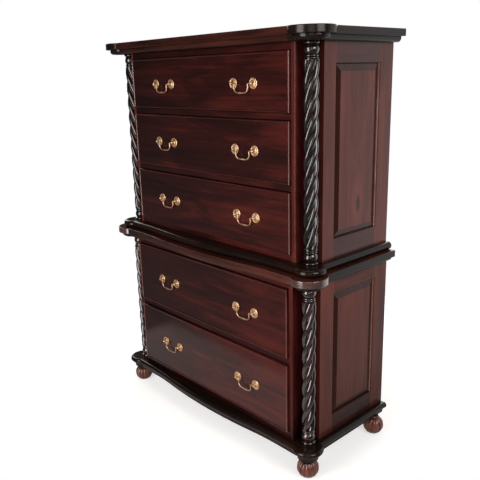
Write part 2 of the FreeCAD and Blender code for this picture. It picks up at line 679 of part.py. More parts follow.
cornice = moulded_board(UPPER_HALF, UPPER_FRONT_Y, False, CORNICE_Z,
                        rounded_edge(CORNICE_HEIGHT, CORNICE_OVERHANG, SLAB_EDGE_ROUND, SLAB_EDGE_ROUND))

dowel_middle_y = (UPPER_FRONT_Y + BACK_Y) / 2
dowel_places = [vec(x * DOWEL_SPACING_X / 2, dowel_middle_y + y * DOWEL_SPACING_Y / 2, UPPER_BASE_Z)
                for x in (-1, 1) for y in (-1, 1)]
dowels = []
dowel_holes = []
for place in dowel_places:
    foot_of_dowel = place - vec(0, 0, DOWEL_DEPTH)
    dowels.append(Part.makeCylinder(DOWEL_RADIUS, 2 * DOWEL_DEPTH - DOWEL_PLAY, foot_of_dowel))
    dowel_holes.append(Part.makeCylinder(DOWEL_RADIUS + DOWEL_PLAY, 2 * DOWEL_DEPTH, foot_of_dowel))

pieces["base_cove"] = cove
pieces["base_board"] = base
pieces["waist_moulding"] = waist_ovolo
pieces["waist_board"] = waist.cut(dowel_holes)
pieces["upper_base_board"] = upper_base.cut(dowel_holes)
pieces["cornice_moulding"] = cornice_ovolo
pieces["cornice_top"] = cornice
pieces["locating_dowels"] = Part.makeCompound(dowels)

foot = bun_foot()
front_foot = moved(foot, vec(LOWER_HALF - EAR_SIDE_INSET, LOWER_FRONT_Y + EAR_FRONT_INSET, 0))
back_foot = moved(foot, vec(LOWER_HALF - EAR_SIDE_INSET, BACK_Y - BACK_FOOT_INSET, 0))
pieces["bun_feet"] = Part.makeCompound(twins(front_foot) + twins(back_foot))

chests = {
    "lower": {
        "half": LOWER_HALF, "front": LOWER_FRONT_Y, "frame": LOWER_FRONT_Y, "z": LOWER_Z,
        "height": LOWER_HEIGHT,
        "front_stile": LOWER_FRONT_STILE, "top_rail": LOWER_SIDE_TOP_RAIL,
        "rails": (LOWER_BOTTOM_RAIL, LOWER_DIVIDER, LOWER_TOP_RAIL),
        "drawers": ((5, BOTTOM_DRAWER_HEIGHT), (4, FOURTH_DRAWER_HEIGHT)),
    },
    "upper": {
        "half": UPPER_HALF, "front": UPPER_FRONT_Y, "frame": UPPER_FRONT_Y + UPPER_FRAME_SETBACK,
        "z": UPPER_Z, "height": UPPER_HEIGHT,
        "front_stile": UPPER_FRONT_STILE, "top_rail": UPPER_SIDE_TOP_RAIL,
        "rails": (UPPER_BOTTOM_RAIL, UPPER_DIVIDER, UPPER_DIVIDER, UPPER_TOP_RAIL),
        "drawers": ((3, THIRD_DRAWER_HEIGHT), (2, SECOND_DRAWER_HEIGHT), (1, TOP_DRAWER_HEIGHT)),
    },
}

plate = rosette()
post = handle_post()
nut = post_nut()
swan_bail = bail()
handle_axes = {}

for name, chest in chests.items():
    half, front, z, height = chest["half"], chest["front"], chest["z"], chest["height"]
    frame_y = chest["frame"]
    opening_x = half - FRAME_REACH
    twist = moved(column(height), vec(half - COLUMN_SIDE_INSET, front + COLUMN_FRONT_INSET, z))
    frame, panel = side_frame(half, front, z, height, chest["front_stile"], chest["top_rail"])
    for kind, shape in (("column", twist), ("side_frame", frame), ("side_panel", panel)):
        pieces[name + "_right_" + kind] = shape
        pieces[name + "_left_" + kind] = mirrored(shape)
    inner = half - FRAME_THICKNESS
    pieces[name + "_back"] = box(-inner, inner, BACK_Y - BACK_THICKNESS, BACK_Y, z, z + height)

    front_members = twins(corner_post(half, front, frame_y, z, height))
    runners = []
    level = z
    for rail_height, (number, drawer_height) in zip(chest["rails"], chest["drawers"]):
        front_members.append(front_rail(opening_x, frame_y, level, rail_height))
        level += rail_height
        for strip in runner_and_guide(half, front, level):
            runners.extend(twins(strip))
        drawer_front, drawer_box, drawer_bottom, handles, posts = drawer(opening_x, frame_y, level,
                                                                         drawer_height)
        level += drawer_height
        title = "drawer_" + str(number)
        pieces[title + "_front"] = drawer_front
        pieces[title + "_box"] = drawer_box
        pieces[title + "_bottom"] = drawer_bottom
        pieces[title + "_handle_mounts"] = Part.makeCompound(
            [moved(part, place) for place in posts for part in (plate, post, nut)])
        for handle, side in zip(handles, ("left", "right")):
            axis = handle - vec(0, HANDLE_AXIS_STAND, 0)
            handle_axes[title + "_bail_" + side] = axis
            pieces[title + "_bail_" + side] = moved(swan_bail, axis)
    front_members.append(front_rail(opening_x, frame_y, level, chest["rails"][-1]))
    pieces[name + "_front_frame"] = Part.makeCompound(front_members)
    pieces[name + "_runners"] = Part.makeCompound(runners)

os.makedirs("parts", exist_ok=True)
for name, shape in pieces.items():
    shape.exportStep("parts/" + name + ".step")
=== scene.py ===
import logging
import math
from collections.abc import Callable, Sequence
from dataclasses import dataclass
from enum import Enum
from functools import cache

import bpy
import numpy as np
from mathutils import Matrix, Vector


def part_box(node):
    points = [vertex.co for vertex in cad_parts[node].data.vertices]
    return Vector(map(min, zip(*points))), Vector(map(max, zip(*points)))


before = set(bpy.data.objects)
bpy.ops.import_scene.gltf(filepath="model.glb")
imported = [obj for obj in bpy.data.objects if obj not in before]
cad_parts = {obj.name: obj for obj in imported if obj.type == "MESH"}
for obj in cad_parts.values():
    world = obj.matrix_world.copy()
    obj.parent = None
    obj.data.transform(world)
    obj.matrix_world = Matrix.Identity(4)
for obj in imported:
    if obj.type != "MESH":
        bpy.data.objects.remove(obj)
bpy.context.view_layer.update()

LOG = logging.getLogger("chest_on_chest")
MM = 0.001
X, Y, Z = 0, 1, 2
SIDES = ("left", "right")
WHITE = "#ffffff"
# A face's centre may be this far off the line that it is tested against.
TOUCH = 1 * MM
# A face looks along an axis when that part of its normal is more than this.
FACING = 0.9
HOLLOW_SAMPLES = 8
# The Mix node's sockets share their names, so they go by number.
MIX_FACTOR, MIX_NUMBER_A, MIX_NUMBER_B, MIX_COLOUR_A, MIX_COLOUR_B = 0, 2, 3, 6, 7
MIXED_NUMBER, MIXED_COLOUR = 0, 2

Span = tuple[float, float]
Triple = tuple[float, float, float]
Colour = tuple[float, float, float, float]
Tree = bpy.types.NodeTree
Socket = bpy.types.NodeSocket
Settings = dict[str | int, object]
Links = dict[str | int, Socket]
FaceTest = Callable[[np.ndarray, np.ndarray], np.ndarray]


def linear(code: str) -> Colour:
    """Turn an sRGB hex colour into Blender's linear colour.

    Args:
        code: Six hex digits with a leading hash.

    Returns:
        Red, green, blue and an alpha of 1.
    """
    parts = [int(code[start:start + 2], 16) / 255 for start in (1, 3, 5)]
    red, green, blue = (
        part / 12.92 if part <= 0.04045 else ((part + 0.055) / 1.055) ** 2.4 for part in parts)
    return red, green, blue, 1.0


def metres(lengths_mm: Sequence[float]) -> list[float]:
    """Turn millimetres into Blender's metres."""
    return [length * MM for length in lengths_mm]


def per_metre(width_mm: float) -> float:
    """Give the scale at which a pattern's features have a real width."""
    return 1 / (width_mm * MM)


def add_node(tree: Tree, kind: str, settings: Settings | None = None,
             links: Links | None = None) -> bpy.types.Node:
    """Add a shader node with its settings and links.

    Args:
        tree: The node tree that the node goes into.
        kind: The node's type, without the leading "ShaderNode".
        settings: Values by property name, or by input name or number; "stops" fills a colour
            ramp.
        links: Feeding sockets by input name or number.

    Returns:
        The new node.
    """
    node = tree.nodes.new("ShaderNode" + kind)
    for key, value in (settings or {}).items():
        if key == "stops":
            ramp = node.color_ramp.elements
            while len(ramp) < len(value):
                ramp.new(1.0)
            for element, (place, colour) in zip(ramp, value):
                element.position = place
                element.color = colour
        elif isinstance(key, str) and hasattr(node, key):
            setattr(node, key, value)
        else:
            node.inputs[key].default_value = value
    for key, source in (links or {}).items():
        tree.links.new(source, node.inputs[key])
    return node


def new_material(name: str) -> tuple[bpy.types.Material, Tree]:
    """Make an empty node material.

    Args:
        name: The material's name.

    Returns:
        The material and its node tree.
    """
    material = bpy.data.materials.new(name)
    material.use_nodes = True
    material.node_tree.nodes.clear()
    return material, material.node_tree


def board_coords(tree: Tree, shift: Triple) -> tuple[Socket, Socket]:
    """Give each board its own stretch of the wood's pattern.

    Args:
        tree: The material's node tree.
        shift: How far apart, in metres, two boards may lie in the pattern.

    Returns:
        The place on the chest and the place in the pattern.
    """
    place = add_node(tree, "TexCoord").outputs["Object"]
    board = add_node(tree, "ObjectInfo").outputs["Random"]
    coords = add_node(tree, "VectorMath", {"operation": "MULTIPLY_ADD", 1: shift},
                      {0: board, 2: place}).outputs[0]
    return place, coords


def ray_kinds(tree: Tree) -> tuple[Socket, Socket]:
    """Tell the camera's rays from those that lacquer, metal and glass send on.

    Args:
        tree: The node tree that asks.

    Returns:
        1 for a ray from the camera, and 1 for a ray that is mirrored or let through.
    """
    path = add_node(tree, "LightPath").outputs
    sent_on = add_node(tree, "Math", {"operation": "ADD", "use_clamp": True},
                       {0: path["Is Glossy Ray"], 1: path["Is Transmission Ray"]}).outputs[0]
    return path["Is Camera Ray"], sent_on


class Grain(Enum):
    """The way a board's fibres run, as an axis of the chest."""

    ACROSS = X
    DEEP = Y
    UPRIGHT = Z


@dataclass(frozen=True)
class GrainLayer:
    """One of the patterns in wood: a cloudy noise, drawn out along the fibres."""

    width_mm: float
    length_ratio: float
    detail: float = 2.0
    roughness: float = 0.5
    distortion: float = 0.0

    def draw(self, tree: Tree, grain: Grain, coords: Socket) -> Socket:
        """Draw the pattern at its real width.

        Args:
            tree: The material's node tree.
            grain: The way the fibres run.
            coords: The place in the pattern.

        Returns:
            The pattern's value, from 0 to 1.
        """
        scale = [per_metre(self.width_mm)] * 3
        scale[grain.value] /= self.length_ratio
        drawn_out = add_node(tree, "Mapping", {"Scale": scale}, {"Vector": coords}).outputs[0]
        return add_node(tree, "TexNoise", {
            "Scale": 1.0, "Detail": self.detail, "Roughness": self.roughness,
            "Distortion": self.distortion,
        }, {"Vector": drawn_out}).outputs["Fac"]


@dataclass(frozen=True)
class Knot:
    """A knot in a panel: the fibres swing round a dark, long eye with a paler ring."""

    centre_mm: Triple
    # Half the eye's size through the panel, along its width and along the fibres.
    reach_mm: Triple
    heart: str = "#2a120d"
    ring: str = "#804838"
    ring_strength: float = 0.35
    eye_strength: float = 0.9
    # Where the eye and the swing fade out, in halves of the eye's size.
    eye_fade: Span = (0.5, 1.35)
    swing_fade: Span = (1.0, 3.6)
    pull: Triple = (-0.5, -0.75, 0.0)
    fray_mm: float = 9.0
    fray_detail: float = 3.0
    fray_share: float = 0.6

    def part_fibres(self, tree: Tree, place: Socket,
                    coords: Socket) -> tuple[Socket, Socket, Socket]:
        """Swing the fibres round the eye.

        Args:
            tree: The material's node tree.
            place: The place on the chest.
            coords: The place in the pattern.

        Returns:
            The place in the pattern with the fibres parted, how strongly they swing there, and
            how dark the eye is there.
        """
        offset = add_node(tree, "VectorMath", {
            "operation": "SUBTRACT", 1: metres(self.centre_mm)}, {0: place}).outputs[0]
        shrunk = add_node(tree, "VectorMath", {
            "operation": "DIVIDE", 1: metres(self.reach_mm)}, {0: offset}).outputs[0]
        away = add_node(tree, "VectorMath", {"operation": "LENGTH"}, {0: shrunk}).outputs["Value"]
        fray = add_node(tree, "TexNoise", {
            "Scale": per_metre(self.fray_mm), "Detail": self.fray_detail,
        }, {"Vector": place}).outputs["Fac"]
        away = add_node(tree, "Math", {"operation": "MULTIPLY_ADD", 1: self.fray_share},
                        {0: fray, 2: away}).outputs[0]
        eye = add_node(tree, "MapRange", {
            "interpolation_type": "SMOOTHERSTEP", "From Min": self.eye_fade[0],
            "From Max": self.eye_fade[1], "To Min": self.eye_strength, "To Max": 0.0,
        }, {"Value": away}).outputs[0]
        swing = add_node(tree, "MapRange", {
            "interpolation_type": "SMOOTHERSTEP", "From Min": self.swing_fade[0],
            "From Max": self.swing_fade[1], "To Min": 1.0, "To Max": 0.0,
        }, {"Value": away}).outputs[0]
        bend = add_node(tree, "VectorMath", {"operation": "SCALE"},
                        {0: offset, "Scale": swing}).outputs[0]
        parted = add_node(tree, "VectorMath", {"operation": "MULTIPLY_ADD", 1: self.pull},
                          {0: bend, 2: coords}).outputs[0]
        return parted, swing, eye

    def paint(self, tree: Tree, colour: Socket, swing: Socket, eye: Socket) -> Socket:
        """Paint the ring and the eye.

        Args:
            tree: The material's node tree.
            colour: The wood's colour without the knot.
            swing: How strongly the fibres swing.
            eye: How dark the eye is.

        Returns:
            The colour with the knot.
        """
        rim = add_node(tree, "Math", {"operation": "SUBTRACT", "use_clamp": True},
                       {0: swing, 1: eye}).outputs[0]
        rim = add_node(tree, "Math", {"operation": "MULTIPLY", 1: self.ring_strength},
                       {0: rim}).outputs[0]
        for share, code in ((rim, self.ring), (eye, self.heart)):
            colour = add_node(tree, "Mix", {"data_type": "RGBA", MIX_COLOUR_B: linear(code)},
                              {MIX_FACTOR: share, MIX_COLOUR_A: colour}).outputs[MIXED_COLOUR]
        return colour


@dataclass(frozen=True)
class LacqueredMahogany:
    """Mahogany, stained, grain-filled and sprayed with a clear lacquer.

    The stain gives the eye a dark red-brown with lighter red bands, the wood long streaks and open
    pores along the fibres, and the lacquer a clear gloss on top.
    """

    name: str
    shade: str
    body: str
    glow: str
    lacquer_roughness: float = 0.14
    lacquer_weight: float = 0.7
    lacquer_ior: float = 1.5
    # The wood lies under the lacquer with no air between them, so it mirrors little by itself.
    wood_gloss: float = 0.0
    wood_roughness: Span = (0.36, 0.52)
    wood_ior: float = 1.5
    figure: GrainLayer = GrainLayer(80.0, 5.0, detail=4.0, roughness=0.55, distortion=0.9)
    streak: GrainLayer = GrainLayer(15.0, 26.0, detail=5.0, roughness=0.6, distortion=0.6)
    streak_share: float = 0.48
    # Where shade, body and glow lie in the mix of figure and streaks.
    stops: Triple = (0.32, 0.5, 0.7)
    # How much lighter and redder the colour gets per metre along each axis, away from a point:
    # mostly painted light and shade, in places uneven stain.
    drift: Triple = (0.0, 0.0, 0.0)
    drift_from_mm: Triple = (0.0, 0.0, 0.0)
    # Real pores are about 0.2 mm wide; they are drawn 2.2 mm wide so that they show in the render.
    pore: GrainLayer = GrainLayer(2.2, 17.0)
    pore_edges: Span = (0.58, 0.72)
    pore_stain: float = 0.55
    pore_depth: float = 0.12
    wave: GrainLayer = GrainLayer(26.0, 2.5)
    ripple: float = 0.25
    ripple_mm: float = 0.3
    # In carved work, grooves narrower than this are darkened towards the shade colour: painted
    # shade.
    groove_mm: float = 0.0
    groove_edges: Span = (0.4, 0.9)
    groove_shade: float = 0.9
    board_shift: Triple = (3.1, 5.7, 7.3)

    @cache
    def material(self, grain: Grain, knot: Knot | None = None) -> bpy.types.Material:
        """Build the finish for one grain direction.

        Args:
            grain: The way the fibres run.
            knot: A knot to draw, if the board has one.

        Returns:
            The material.
        """
        name = f"lacquered_{self.name}_{grain.name.lower()}" + ("_knotty" if knot else "")
        material, tree = new_material(name)
        place, coords = board_coords(tree, self.board_shift)
        if knot:
            coords, swing, eye = knot.part_fibres(tree, place, coords)
        figure, streak, pore, wave = (
            layer.draw(tree, grain, coords)
            for layer in (self.figure, self.streak, self.pore, self.wave))
        fleck = add_node(tree, "MapRange", {
            "From Min": self.pore_edges[0], "From Max": self.pore_edges[1],
            "To Min": 0.0, "To Max": self.pore_stain,
        }, {"Value": pore}).outputs[0]
        colour = self.stain(tree, self.tone(tree, place, figure, streak), fleck)
        if knot:
            colour = knot.paint(tree, colour, swing, eye)
        shader = self.lacquer(tree, colour, streak, fleck, wave)
        add_node(tree, "OutputMaterial", None, {"Surface": shader})
        return material

    def tone(self, tree: Tree, place: Socket, figure: Socket, streak: Socket) -> Socket:
        """Mix the figure and the streaks, and let the colour drift along the chest, as painted
        light and shade and as uneven stain.

        Args:
            tree: The material's node tree.
            place: The place on the chest.
            figure: The broad figure.
            streak: The long streaks.

        Returns:
            How light the colour is, with its painted light and shade.
        """
        tone = add_node(tree, "Mix", {MIX_FACTOR: self.streak_share},
                        {MIX_NUMBER_A: figure, MIX_NUMBER_B: streak}).outputs[MIXED_NUMBER]
        if not any(self.drift):
            return tone
        there = add_node(tree, "VectorMath", {
            "operation": "SUBTRACT", 1: metres(self.drift_from_mm)}, {0: place}).outputs[0]
        lighter = add_node(tree, "VectorMath", {"operation": "DOT_PRODUCT", 1: self.drift},
                           {0: there}).outputs["Value"]
        return add_node(tree, "Math", {"operation": "ADD"}, {0: tone, 1: lighter}).outputs[0]

    def stain(self, tree: Tree, tone: Socket, fleck: Socket) -> Socket:
        """Colour the wood, darker in the pores, and darker in carved grooves as painted shade.

        Args:
            tree: The material's node tree.
            tone: How light the colour is.
            fleck: How much of it a pore takes up.

        Returns:
            The colour.
        """
        shade, body, glow = (linear(code) for code in (self.shade, self.body, self.glow))
        colour = add_node(tree, "ValToRGB", {
            "stops": list(zip(self.stops, (shade, body, glow)))}, {"Fac": tone}).outputs[0]
        colour = add_node(tree, "Mix", {"data_type": "RGBA", MIX_COLOUR_B: shade},
                          {MIX_FACTOR: fleck, MIX_COLOUR_A: colour}).outputs[MIXED_COLOUR]
        if not self.groove_mm:
            return colour
        # Painted shade: the hollows of carved work darken towards the shade colour.
        clear = add_node(tree, "AmbientOcclusion", {
            "samples": HOLLOW_SAMPLES, "Distance": self.groove_mm * MM}).outputs["AO"]
        painted_groove_shade = add_node(tree, "MapRange", {
            "From Min": self.groove_edges[0], "From Max": self.groove_edges[1],
            "To Min": self.groove_shade, "To Max": 0.0,
        }, {"Value": clear}).outputs[0]
        return add_node(tree, "Mix", {"data_type": "RGBA", MIX_COLOUR_B: shade},
                        {MIX_FACTOR: painted_groove_shade, MIX_COLOUR_A: colour}).outputs[MIXED_COLOUR]

    def lacquer(self, tree: Tree, colour: Socket, streak: Socket, fleck: Socket,
                wave: Socket) -> Socket:
        """Lay the clear lacquer over the stained wood, with its slight ripple.

        Args:
            tree: The material's node tree.
            colour: The stained wood's colour.
            streak: The long streaks, which make the wood more or less smooth.
            fleck: The pores, which sink a little.
            wave: The ripple left by planing and spraying.

        Returns:
            The shader.
        """
        roughness = add_node(tree, "MapRange", {
            "To Min": self.wood_roughness[0], "To Max": self.wood_roughness[1],
        }, {"Value": streak}).outputs[0]
        relief = add_node(tree, "Math", {"operation": "MULTIPLY_ADD", 1: -self.pore_depth},
                          {0: fleck, 2: wave}).outputs[0]
        bump = add_node(tree, "Bump", {
            "Strength": self.ripple, "Distance": self.ripple_mm * MM,
        }, {"Height": relief}).outputs[0]
        return add_node(tree, "BsdfPrincipled", {
            "IOR": self.wood_ior, "Specular IOR Level": self.wood_gloss,
            "Coat Weight": self.lacquer_weight, "Coat Roughness": self.lacquer_roughness,
            "Coat IOR": self.lacquer_ior,
        }, {"Base Color": colour, "Roughness": roughness, "Normal": bump,
            "Coat Normal": bump}).outputs[0]


@dataclass(frozen=True)
class PlanedTimber:
    """Plain hardwood, planed and left bare: pale brown, matt, with soft long grain."""

    name: str = "planed_bare_hardwood"
    late: str = "#8a6242"
    early: str = "#b98f63"
    stops: Span = (0.36, 0.62)
    ring: GrainLayer = GrainLayer(16.0, 18.0, detail=4.0, distortion=0.5)
    # Real pores are about 0.2 mm wide; they are drawn 1.8 mm wide so that they show in the render.
    pore: GrainLayer = GrainLayer(1.8, 22.0, detail=4.0, distortion=0.5)
    pore_share: float = 0.35
    roughness: Span = (0.55, 0.8)
    ior: float = 1.5
    relief: float = 0.2
    relief_mm: float = 0.2
    board_shift: Triple = (2.3, 4.9, 6.1)

    @cache
    def material(self, grain: Grain) -> bpy.types.Material:
        """Build the bare timber for one grain direction.

        Args:
            grain: The way the fibres run.

        Returns:
            The material.
        """
        material, tree = new_material(f"{self.name}_{grain.name.lower()}")
        coords = board_coords(tree, self.board_shift)[1]
        ring, pore = (layer.draw(tree, grain, coords) for layer in (self.ring, self.pore))
        tone = add_node(tree, "Mix", {MIX_FACTOR: self.pore_share},
                        {MIX_NUMBER_A: ring, MIX_NUMBER_B: pore}).outputs[MIXED_NUMBER]
        colours = (linear(self.late), linear(self.early))
        colour = add_node(tree, "ValToRGB", {"stops": list(zip(self.stops, colours))},
                          {"Fac": tone}).outputs[0]
        bump = add_node(tree, "Bump", {
            "Strength": self.relief, "Distance": self.relief_mm * MM,
        }, {"Height": pore}).outputs[0]
        roughness = add_node(tree, "MapRange", {
            "To Min": self.roughness[0], "To Max": self.roughness[1],
        }, {"Value": ring}).outputs[0]
        shader = add_node(tree, "BsdfPrincipled", {"IOR": self.ior}, {
            "Base Color": colour, "Roughness": roughness, "Normal": bump}).outputs[0]
        add_node(tree, "OutputMaterial", None, {"Surface": shader})
        return material


@dataclass(frozen=True)
class CastBrass:
    """Brass, cast and rubbed bright: pale warm gold, a soft shine, brown tarnish in hollows."""

    name: str = "cast_polished_brass"
    bright: str = "#f5d0a8"
    dull: str = "#d6a880"
    tarnished: str = "#5a3c22"
    cloud_mm: float = 9.0
    cloud_detail: float = 3.0
    stops: Span = (0.35, 0.6)
    roughness: Span = (0.36, 0.52)
    hollow_mm: float = 6.0
    hollow_edges: Span = (0.35, 0.85)
    tarnish_share: float = 0.85
    # Casting grit is about 0.1 mm; it is drawn 1 mm so that it shows in a close view.
    grit_mm: float = 1.0
    grit_detail: float = 2.0
    relief: float = 0.15
    relief_mm: float = 0.05

    @cache
    def material(self) -> bpy.types.Material:
        """Build the brass.

        Returns:
            The material.
        """
        material, tree = new_material(self.name)
        place = add_node(tree, "TexCoord").outputs["Object"]
        cloud, grit = (
            add_node(tree, "TexNoise", {"Scale": per_metre(width), "Detail": detail},
                     {"Vector": place}).outputs["Fac"]
            for width, detail in ((self.cloud_mm, self.cloud_detail),
                                  (self.grit_mm, self.grit_detail)))
        colours = (linear(self.dull), linear(self.bright))
        colour = add_node(tree, "ValToRGB", {"stops": list(zip(self.stops, colours))},
                          {"Fac": cloud}).outputs[0]
        clear = add_node(tree, "AmbientOcclusion", {
            "samples": HOLLOW_SAMPLES, "Distance": self.hollow_mm * MM}).outputs["AO"]
        tarnish = add_node(tree, "MapRange", {
            "From Min": self.hollow_edges[0], "From Max": self.hollow_edges[1],
            "To Min": self.tarnish_share, "To Max": 0.0,
        }, {"Value": clear}).outputs[0]
        colour = add_node(tree, "Mix", {"data_type": "RGBA", MIX_COLOUR_B: linear(self.tarnished)},
                          {MIX_FACTOR: tarnish, MIX_COLOUR_A: colour}).outputs[MIXED_COLOUR]
        roughness = add_node(tree, "MapRange", {
            "To Min": self.roughness[0], "To Max": self.roughness[1],
        }, {"Value": cloud}).outputs[0]
        bump = add_node(tree, "Bump", {
            "Strength": self.relief, "Distance": self.relief_mm * MM,
        }, {"Height": grit}).outputs[0]
        shader = add_node(tree, "BsdfPrincipled", {"Metallic": 1.0}, {
            "Base Color": colour, "Roughness": roughness, "Normal": bump}).outputs[0]
        add_node(tree, "OutputMaterial", None, {"Surface": shader})
        return material


# The drawer fronts and the upper rails: dark under a deep gloss, redder to the right and a
# little lighter lower down, partly uneven stain and partly painted light.
DRAWER_WOOD = LacqueredMahogany(
    "drawer_mahogany", "#1b0b0a", "#2e1210", "#521f1a", lacquer_roughness=0.13,
    lacquer_weight=0.85, drift=(0.26, 0.0, -0.05), drift_from_mm=(0.0, 0.0, 850.0),
    streak=GrainLayer(20.0, 26.0, detail=5.0, roughness=0.6, distortion=0.6), streak_share=0.36)
# The bead round each drawer front: smooth, so that it mirrors in a thin line.
BEAD_WOOD = LacqueredMahogany(
    "bead_mahogany", "#24100e", "#3a1814", "#552019", lacquer_roughness=0.14, lacquer_weight=0.9,
    wood_gloss=0.1, wood_roughness=(0.2, 0.3), ripple=0.02)
# The upright ends of that bead, painted pale as a highlight.
HIGHLIGHT_BEAD_WOOD = LacqueredMahogany(
    "highlight_bead_mahogany", "#5e342f", "#80504a", "#a2726a", lacquer_roughness=0.2,
    lacquer_weight=1.0, wood_gloss=0.5, wood_roughness=(0.2, 0.3), ripple=0.02)
# The upper sides' stiles and panels: a plain red-brown, a little lighter lower down: painted shade
# under the cornice darkens the top.
UPPER_SIDE_WOOD = LacqueredMahogany(
    "upper_side_mahogany", "#48211a", "#602e26", "#783c30", lacquer_roughness=0.22,
    lacquer_weight=0.75, drift=(0.0, 0.0, -0.12), drift_from_mm=(0.0, 0.0, 1150.0),
    streak_share=0.36)
# The upper sides' rails: darker than the stiles, as painted shade.
UPPER_CROSS_WOOD = LacqueredMahogany(
    "upper_cross_mahogany", "#38191a", "#472421", "#562c28", lacquer_roughness=0.22,
    lacquer_weight=0.8)
# The lower sides' stiles and panels: lighter to the front and higher up, as painted light from the
# front and from above.
LOWER_SIDE_WOOD = LacqueredMahogany(
    "lower_side_mahogany", "#4a211a", "#602d22", "#74382c", lacquer_roughness=0.22,
    lacquer_weight=0.55, drift=(0.0, -0.35, 0.4), drift_from_mm=(0.0, 150.0, 500.0))
# The lower sides' rails: the lower one much darker than the upper one, as painted shade towards
# the floor.
LOWER_CROSS_WOOD = LacqueredMahogany(
    "lower_cross_mahogany", "#22100d", "#3e1e18", "#66332a", lacquer_roughness=0.25,
    lacquer_weight=0.5, drift=(0.0, 0.0, 0.4), drift_from_mm=(0.0, 0.0, 320.0))
# The side frames' inner edges, painted pale as a highlight.
HIGHLIGHT_EDGE_WOOD = LacqueredMahogany(
    "highlight_edge_mahogany", "#8a5548", "#b98a7c", "#d8b3a6", lacquer_weight=1.0)
# The bevels round the raised panels: darker, as painted shade in the recess round each panel.
BEVEL_WOOD = LacqueredMahogany(
    "bevel_mahogany", "#24110d", "#371a12", "#4e261a", lacquer_roughness=0.2)
# The upper corner posts: red and only half glossy.
UPPER_POST_WOOD = LacqueredMahogany(
    "upper_post_mahogany", "#3a1613", "#5c2520", "#7a302a", lacquer_roughness=0.25,
    lacquer_weight=0.4)
# The lower corner posts: red above, darker towards the floor as painted shade.
LOWER_POST_WOOD = LacqueredMahogany(
    "lower_post_mahogany", "#220c0b", "#4c1d1a", "#702a25", lacquer_roughness=0.25,
    lacquer_weight=0.5, drift=(0.0, 0.0, 0.5), drift_from_mm=(0.0, 0.0, 480.0))
# The lower rails: near black towards the floor as painted shade, redder higher up and to the
# right.
LOWER_RAIL_WOOD = LacqueredMahogany(
    "lower_rail_mahogany", "#120706", "#2c1110", "#4c1c18", lacquer_roughness=0.2,
    lacquer_weight=0.6, drift=(0.2, 0.0, 0.4), drift_from_mm=(0.0, 0.0, 500.0))
# The waist board's front: redder to the right.
RED_MOULDING_WOOD = LacqueredMahogany(
    "red_moulding_mahogany", "#190d0a", "#432118", "#643025", lacquer_roughness=0.25,
    lacquer_weight=1.0, ripple=0.05, drift=(0.3, 0.0, 0.0))
# The waist moulding and the cornice: brown, half glossy.
SHADED_MOULDING_WOOD = LacqueredMahogany(
    "shaded_moulding_mahogany", "#1c0d0b", "#3a1c16", "#50271e", lacquer_roughness=0.25,
    lacquer_weight=0.5, ripple=0.05, drift=(0.12, 0.0, 0.0), drift_from_mm=(150.0, 0.0, 0.0))
# The base boards, and the sides and most ears of all boards: near black; on the cove under
# the base board, and on the sides and ears, this is painted shade.
DARK_MOULDING_WOOD = LacqueredMahogany(
    "dark_moulding_mahogany", "#0c0806", "#19100c", "#2e180f", lacquer_roughness=0.2,
    lacquer_weight=0.65, ripple=0.05)
# The waist board's ears: a paler, glossier brown, a painted gleam.
GLEAM_EAR_WOOD = LacqueredMahogany(
    "gleam_ear_mahogany", "#3a241e", "#4c3029", "#64443a", lacquer_roughness=0.14,
    lacquer_weight=1.0, wood_gloss=1.0, wood_roughness=(0.16, 0.22), ripple=0.02)
# The upper columns: near black, with a hard shine on the strands and painted shade in the grooves.
UPPER_COLUMN_WOOD = LacqueredMahogany(
    "upper_column_mahogany", "#080404", "#150b09", "#2a130e", lacquer_roughness=0.1,
    lacquer_weight=1.0, wood_gloss=0.5, wood_roughness=(0.12, 0.2), ripple=0.02, groove_mm=8.0)
# The lower columns: a little browner, which is painted light, and shinier still, with painted
# shade in the grooves.
LOWER_COLUMN_WOOD = LacqueredMahogany(
    "lower_column_mahogany", "#0a0505", "#22100c", "#3e1c15", lacquer_roughness=0.12,
    lacquer_weight=1.0, wood_gloss=0.9, wood_roughness=(0.12, 0.2), ripple=0.02, groove_mm=8.0)
# The bun feet: light brown ribs, darkened between them as painted shade.
FOOT_WOOD = LacqueredMahogany(
    "foot_mahogany", "#160904", "#7a3f2f", "#c67c58", lacquer_roughness=0.1, lacquer_weight=1.0,
    wood_gloss=0.2, wood_roughness=(0.2, 0.3), ripple=0.05, groove_mm=24.0)
INNER_TIMBER = PlanedTimber()
BRASS = CastBrass()


def dress(node: str, plain: bpy.types.Material,
          parts: Sequence[tuple[bpy.types.Material, FaceTest]] = ()) -> None:
    """Give a piece its finishes.

    Args:
        node: The piece's name in the CAD model.
        plain: The finish of every face that no test picks.
        parts: Other finishes, each with a test that picks faces by their centres and normals;
            a face takes the first finish whose test picks it.
    """
    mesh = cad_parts[node].data
    finishes = [plain, *(finish for finish, _ in parts)]
    mesh.materials.clear()
    for finish in finishes:
        mesh.materials.append(finish)
    count = len(mesh.polygons)
    numbers = np.zeros(count, np.int32)
    if parts:
        centres = np.empty(count * 3, np.float32)
        normals = np.empty(count * 3, np.float32)
        mesh.polygons.foreach_get("center", centres)
        mesh.polygons.foreach_get("normal", normals)
        picked = [test(centres.reshape(-1, 3), normals.reshape(-1, 3)) for _, test in parts]
        numbers = np.select(picked, list(range(1, len(finishes))), 0).astype(np.int32)
    mesh.polygons.foreach_set("material_index", numbers)
    mesh.update()
    LOG.info("%s: %s", node, ", ".join(finish.name for finish in finishes))


